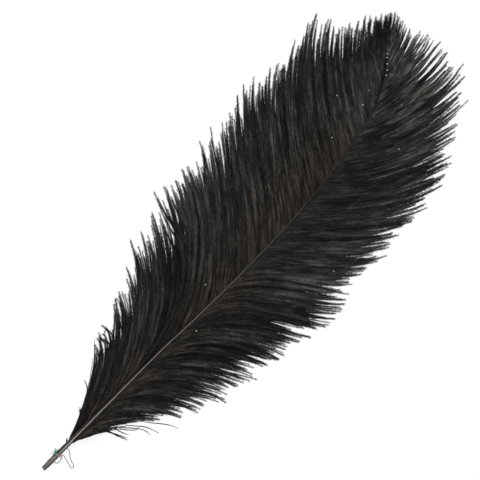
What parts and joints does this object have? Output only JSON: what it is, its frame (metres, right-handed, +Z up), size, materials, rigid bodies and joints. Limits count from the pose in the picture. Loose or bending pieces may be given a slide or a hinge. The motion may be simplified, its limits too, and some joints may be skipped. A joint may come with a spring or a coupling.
{
  "type": "ostrich feather",
  "caption": "Dark ostrich plume lying flat, with a bare quill, soft vanes that hang in locks, a knotted thread and a loose thread at the quill.",
  "frame": {"origin": "on the surface the feather lies on, under the middle of its box", "axes": "+X along the shaft from the cut end of the quill to the tuft at the tip, +Z up from the surface, +Y towards the wider, left vane"},
  "size_m": [0.3996, 0.16, 0.0156],
  "materials": {
    "barbs": "satin",
    "quill": "satin",
    "green_thread": "matte",
    "grey_thread": "matte"
  },
  "bodies": {
    "root": {"feather": "barbs", "knotted_thread": "green_thread", "loose_thread": "grey_thread"}
  },
  "joints": []
}
